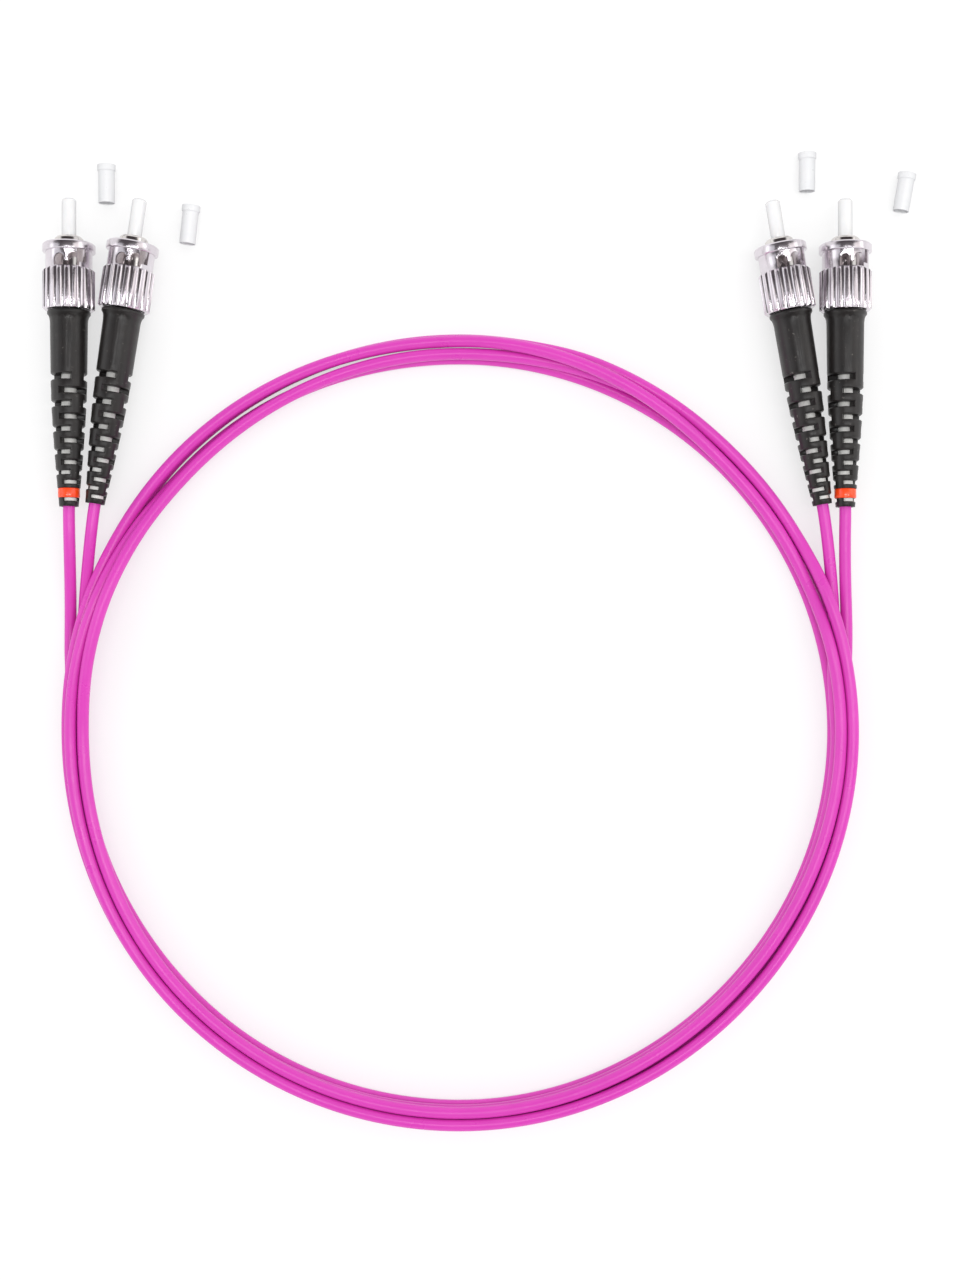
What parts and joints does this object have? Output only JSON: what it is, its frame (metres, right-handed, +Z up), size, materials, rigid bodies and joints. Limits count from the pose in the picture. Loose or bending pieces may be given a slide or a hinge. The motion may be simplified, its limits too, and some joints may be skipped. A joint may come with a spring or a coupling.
{
  "type": "duplex st fibre patch cord",
  "caption": "Coiled two-fibre patch cord with ST bayonet connectors at both ends: ceramic ferrules, fluted nuts, slotted boots and loose dust caps.",
  "frame": {"origin": "centre of the coil, on the surface that the cord lies on", "axes": "+X to the right across the four connectors, +Y from the coil towards the connectors' tips, +Z up"},
  "size_m": [0.1534, 0.1723, 0.0091],
  "materials": {
    "zirconia": "polished",
    "nickel_barrel": "bright nickel plate",
    "nickel_nut": "bright nickel plate",
    "spring_steel": "drawn wire",
    "washer_steel": "satin",
    "clip_steel": "satin",
    "crimp_metal": "nickel plate, satin",
    "guide_plastic": "satin",
    "buffer_plastic": "satin",
    "boot_rubber": "satin",
    "marker_plastic": "gloss",
    "cord_jacket": "smooth satin",
    "cap_plastic": "translucent white"
  },
  "bodies": {
    "cord": {"ferrule_a1": "zirconia", "barrel_a1": "nickel_barrel", "spring_a1": "spring_steel", "clip_a1": "clip_steel", "crimp_a1": "crimp_metal", "guide_tube_a1": "guide_plastic", "fibre_buffer_a1": "buffer_plastic", "boot_a1": "boot_rubber", "ferrule_b1": "zirconia", "barrel_b1": "nickel_barrel", "spring_b1": "spring_steel", "clip_b1": "clip_steel", "crimp_b1": "crimp_metal", "guide_tube_b1": "guide_plastic", "fibre_buffer_b1": "buffer_plastic", "boot_b1": "boot_rubber", "ferrule_b2": "zirconia", "barrel_b2": "nickel_barrel", "spring_b2": "spring_steel", "clip_b2": "clip_steel", "crimp_b2": "crimp_metal", "guide_tube_b2": "guide_plastic", "fibre_buffer_b2": "buffer_plastic", "boot_b2": "boot_rubber", "ferrule_a2": "zirconia", "barrel_a2": "nickel_barrel", "spring_a2": "spring_steel", "clip_a2": "clip_steel", "crimp_a2": "crimp_metal", "guide_tube_a2": "guide_plastic", "fibre_buffer_a2": "buffer_plastic", "boot_a2": "boot_rubber", "marker_band_a1": "marker_plastic", "marker_band_a2": "marker_plastic", "lead_a1": "cord_jacket", "lead_b1": "cord_jacket", "lead_b2": "cord_jacket", "lead_a2": "cord_jacket", "dust_cap_1": "cap_plastic", "dust_cap_2": "cap_plastic", "dust_cap_3": "cap_plastic", "dust_cap_4": "cap_plastic", "coil": "cord_jacket"},
    "slider_a1": {"washer_a1": "washer_steel"},
    "nut_a1": {"nut_a1": "nickel_nut"},
    "slider_b1": {"washer_b1": "washer_steel"},
    "nut_b1": {"nut_b1": "nickel_nut"},
    "slider_b2": {"washer_b2": "washer_steel"},
    "nut_b2": {"nut_b2": "nickel_nut"},
    "slider_a2": {"washer_a2": "washer_steel"},
    "nut_a2": {"nut_a2": "nickel_nut"}
  },
  "joints": [
    {"name": "nut_slide_a1", "type": "slide", "parent": "cord", "child": "slider_a1", "axis": [0, 1, 0], "range_m": [0, 0.0018], "stiffness_N_per_m": 800, "springref_m": -0.002, "deforming": ["spring_a1"]},
    {"name": "nut_turn_a1", "type": "hinge", "parent": "slider_a1", "child": "nut_a1", "pos_m": [-0.0683, 0.07515, 0.00455], "axis": [0, 1, 0], "continuous": true},
    {"name": "nut_slide_b1", "type": "slide", "parent": "cord", "child": "slider_b1", "axis": [0.1461, 0.9893, 0], "range_m": [0, 0.0018], "stiffness_N_per_m": 800, "springref_m": -0.002, "deforming": ["spring_b1"]},
    {"name": "nut_turn_b1", "type": "hinge", "parent": "slider_b1", "child": "nut_b1", "pos_m": [-0.05857, 0.07525, 0.00455], "axis": [0.1461, 0.9893, 0], "continuous": true},
    {"name": "nut_slide_b2", "type": "slide", "parent": "cord", "child": "slider_b2", "axis": [-0.1633, 0.9866, 0], "range_m": [0, 0.0018], "stiffness_N_per_m": 800, "springref_m": -0.002, "deforming": ["spring_b2"]},
    {"name": "nut_turn_b2", "type": "hinge", "parent": "slider_b2", "child": "nut_b2", "pos_m": [0.05768, 0.075, 0.00455], "axis": [-0.1633, 0.9866, 0], "continuous": true},
    {"name": "nut_slide_a2", "type": "slide", "parent": "cord", "child": "slider_a2", "axis": [0, 1, 0], "range_m": [0, 0.0018], "stiffness_N_per_m": 800, "springref_m": -0.002, "deforming": ["spring_a2"]},
    {"name": "nut_turn_a2", "type": "hinge", "parent": "slider_a2", "child": "nut_a2", "pos_m": [0.0675, 0.07505, 0.00455], "axis": [0, 1, 0], "continuous": true}
  ]
}
